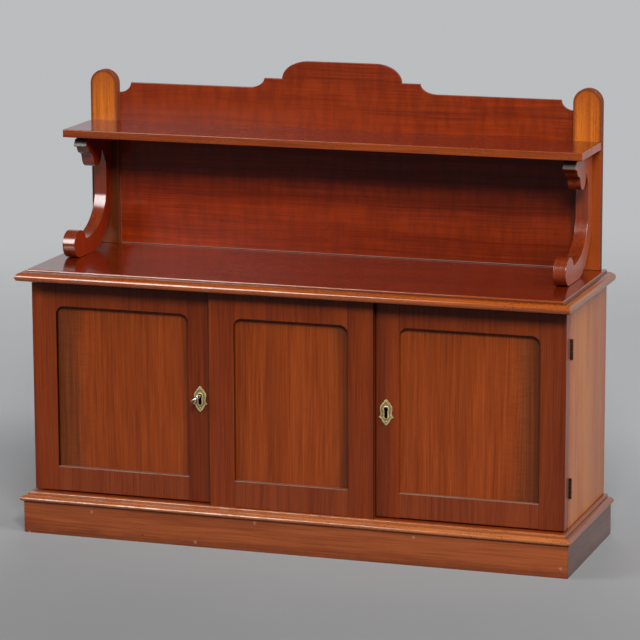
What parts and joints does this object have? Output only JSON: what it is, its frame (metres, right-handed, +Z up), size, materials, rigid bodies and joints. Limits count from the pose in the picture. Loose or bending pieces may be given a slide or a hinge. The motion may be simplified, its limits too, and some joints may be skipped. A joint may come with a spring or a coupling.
{
  "type": "tabletop cupboard",
  "caption": "Small polished mahogany cupboard with framed doors beside a fixed centre panel, a moulded top and an open shelf on scroll brackets before a shaped back board.",
  "frame": {"origin": "under the middle of the whole cupboard, in the plane that the plinth stands on", "axes": "+X to the right seen from the front, +Y from the front to the back, +Z up"},
  "size_m": [0.859, 0.273, 0.7013],
  "materials": {
    "polished_mahogany": "French polished mahogany, dark red-brown",
    "panel_mahogany": "polished straight-grained mahogany, orange-brown",
    "side_mahogany": "polished mahogany, faded and paler",
    "inner_softwood": "bare softwood, darkened by age",
    "cast_brass": "cast, aged and dull",
    "hinge_brass": "rolled, darkened",
    "lock_iron": "dark, filed",
    "key_steel": "bright, worn"
  },
  "bodies": {
    "carcase": {"plinth_front": "polished_mahogany", "plinth_left": "polished_mahogany", "plinth_right": "polished_mahogany", "plinth_back": "inner_softwood", "left_corner_block": "inner_softwood", "right_corner_block": "inner_softwood", "base_bead_front": "polished_mahogany", "base_bead_left": "polished_mahogany", "base_bead_right": "polished_mahogany", "bottom_board": "side_mahogany", "carcase_back": "inner_softwood", "front_top_rail": "inner_softwood", "inner_shelf": "inner_softwood", "left_side": "side_mahogany", "right_side": "side_mahogany", "left_shelf_cleat": "inner_softwood", "right_shelf_cleat": "inner_softwood", "left_post": "inner_softwood", "right_post": "inner_softwood", "moulded_top": "polished_mahogany", "centre_left_stile": "polished_mahogany", "centre_right_stile": "polished_mahogany", "centre_top_rail": "polished_mahogany", "centre_bottom_rail": "polished_mahogany", "centre_panel": "panel_mahogany", "left_upper_hinge_fixed_leaf": "hinge_brass", "left_upper_hinge_pin": "hinge_brass", "left_lower_hinge_fixed_leaf": "hinge_brass", "left_lower_hinge_pin": "hinge_brass", "right_upper_hinge_fixed_leaf": "hinge_brass", "right_upper_hinge_pin": "hinge_brass", "right_lower_hinge_fixed_leaf": "hinge_brass", "right_lower_hinge_pin": "hinge_brass", "back_board": "polished_mahogany", "gallery_shelf": "polished_mahogany", "left_upright": "polished_mahogany", "right_upright": "polished_mahogany", "left_bracket": "polished_mahogany", "right_bracket": "polished_mahogany"},
    "left_door": {"left_door_hinge_stile": "polished_mahogany", "left_door_lock_stile": "polished_mahogany", "left_door_top_rail": "polished_mahogany", "left_door_bottom_rail": "polished_mahogany", "left_door_panel": "panel_mahogany", "left_escutcheon": "cast_brass", "left_lock_case": "lock_iron", "left_upper_hinge_door_leaf": "hinge_brass", "left_lower_hinge_door_leaf": "hinge_brass"},
    "left_bolt": {"left_lock_bolt": "lock_iron"},
    "left_key": {"key": "key_steel"},
    "right_door": {"right_door_hinge_stile": "polished_mahogany", "right_door_lock_stile": "polished_mahogany", "right_door_top_rail": "polished_mahogany", "right_door_bottom_rail": "polished_mahogany", "right_door_panel": "panel_mahogany", "right_escutcheon": "cast_brass", "right_lock_case": "lock_iron", "right_upper_hinge_door_leaf": "hinge_brass", "right_lower_hinge_door_leaf": "hinge_brass"},
    "right_bolt": {"right_lock_bolt": "lock_iron"}
  },
  "joints": [
    {"name": "left_door_hinge", "type": "hinge", "parent": "carcase", "child": "left_door", "pos_m": [-0.4166, -0.0806, 0.2239], "axis": [0, 0, -1], "range_deg": [0, 170]},
    {"name": "right_door_hinge", "type": "hinge", "parent": "carcase", "child": "right_door", "pos_m": [0.4166, -0.0806, 0.2239], "axis": [0, 0, 1], "range_deg": [0, 170]},
    {"name": "left_key_turn", "type": "hinge", "parent": "left_door", "child": "left_key", "pos_m": [-0.1447, -0.10305, 0.2272], "axis": [0, 1, 0], "range_deg": [-58, 300]},
    {"name": "left_bolt_slide", "type": "slide", "parent": "left_door", "child": "left_bolt", "axis": [1, 0, 0], "range_m": [-0.0012, 0.0061]},
    {"name": "right_bolt_slide", "type": "slide", "parent": "right_door", "child": "right_bolt", "axis": [-1, 0, 0], "range_m": [-0.0012, 0.006]}
  ],
  "couplings": [
    {"joint": "left_bolt_slide", "follows": "left_key_turn", "m_per_rad": 0.0011459}
  ]
}
